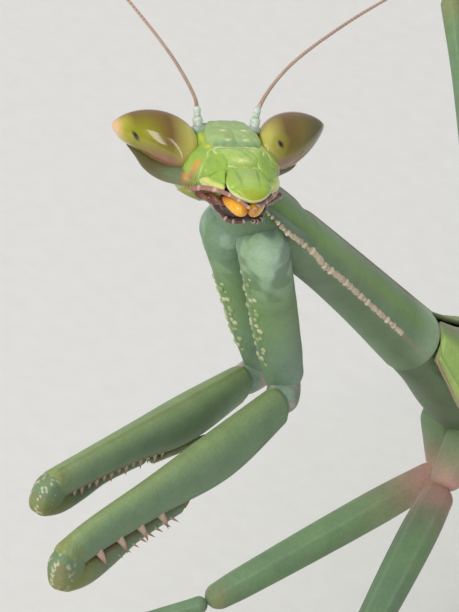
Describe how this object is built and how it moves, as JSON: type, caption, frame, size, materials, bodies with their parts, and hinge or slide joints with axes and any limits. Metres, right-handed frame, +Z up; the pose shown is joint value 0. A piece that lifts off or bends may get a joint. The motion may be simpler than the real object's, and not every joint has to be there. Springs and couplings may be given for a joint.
{
  "type": "praying mantis",
  "caption": "Praying mantis standing with its front raised, its forelegs folded in front and its head turned up and aside, with conical eyes and folded leaf-green wings.",
  "frame": {"origin": "on the floor, under the centre of the bounding box", "axes": "+Z up, -Y the way the animal heads, +X to its left"},
  "size_m": [0.047, 0.0684, 0.0425],
  "materials": {
    "head_green": "smooth, satin, bright green",
    "eye": "polished, olive green",
    "labrum": "glossy, lime green",
    "mouth_orange": "glossy, orange",
    "palp": "smooth, pinkish brown",
    "antenna": "ringed, tan",
    "plate_green": "finely grained, blue-green",
    "limb_green": "finely grained, grey-green",
    "joint": "soft, pinkish brown",
    "wing_green": "veined, leaf green",
    "abdomen_green": "banded, pale green"
  },
  "bodies": {
    "root": {"abdomen_1": "abdomen_green", "abdomen_2": "abdomen_green", "abdomen_3": "abdomen_green", "abdomen_4": "abdomen_green", "abdomen_5": "abdomen_green", "abdomen_6": "abdomen_green", "abdomen_7": "abdomen_green", "antenna_l_base": "antenna", "antenna_l_whip": "antenna", "antenna_r_base": "antenna", "antenna_r_whip": "antenna", "cercus_l": "abdomen_green", "cercus_r": "abdomen_green", "eye_l": "eye", "eye_r": "eye", "fore_l_coxa": "limb_green", "fore_l_femur": "limb_green", "fore_l_tarsus": "joint", "fore_l_tibia": "limb_green", "fore_l_trochanter": "joint", "fore_r_coxa": "limb_green", "fore_r_femur": "limb_green", "fore_r_tarsus": "joint", "fore_r_tibia": "limb_green", "fore_r_trochanter": "joint", "head": "head_green", "hind_l_coxa": "limb_green", "hind_l_femur": "limb_green", "hind_l_tarsus": "joint", "hind_l_tibia": "limb_green", "hind_r_coxa": "limb_green", "hind_r_femur": "limb_green", "hind_r_tarsus": "joint", "hind_r_tibia": "limb_green", "labial_palp_l": "palp", "labial_palp_r": "palp", "labrum": "labrum", "mandible_l": "head_green", "mandible_r": "head_green", "maxilla_l": "mouth_orange", "maxilla_r": "mouth_orange", "maxillary_palp_l": "palp", "maxillary_palp_r": "palp", "mid_l_coxa": "limb_green", "mid_l_femur": "limb_green", "mid_l_tarsus": "joint", "mid_l_tibia": "limb_green", "mid_r_coxa": "limb_green", "mid_r_femur": "limb_green", "mid_r_tarsus": "joint", "mid_r_tibia": "limb_green", "neck": "joint", "prothorax": "plate_green", "pterothorax": "plate_green", "tegmen_l": "wing_green", "tegmen_r": "wing_green"}
  },
  "joints": []
}
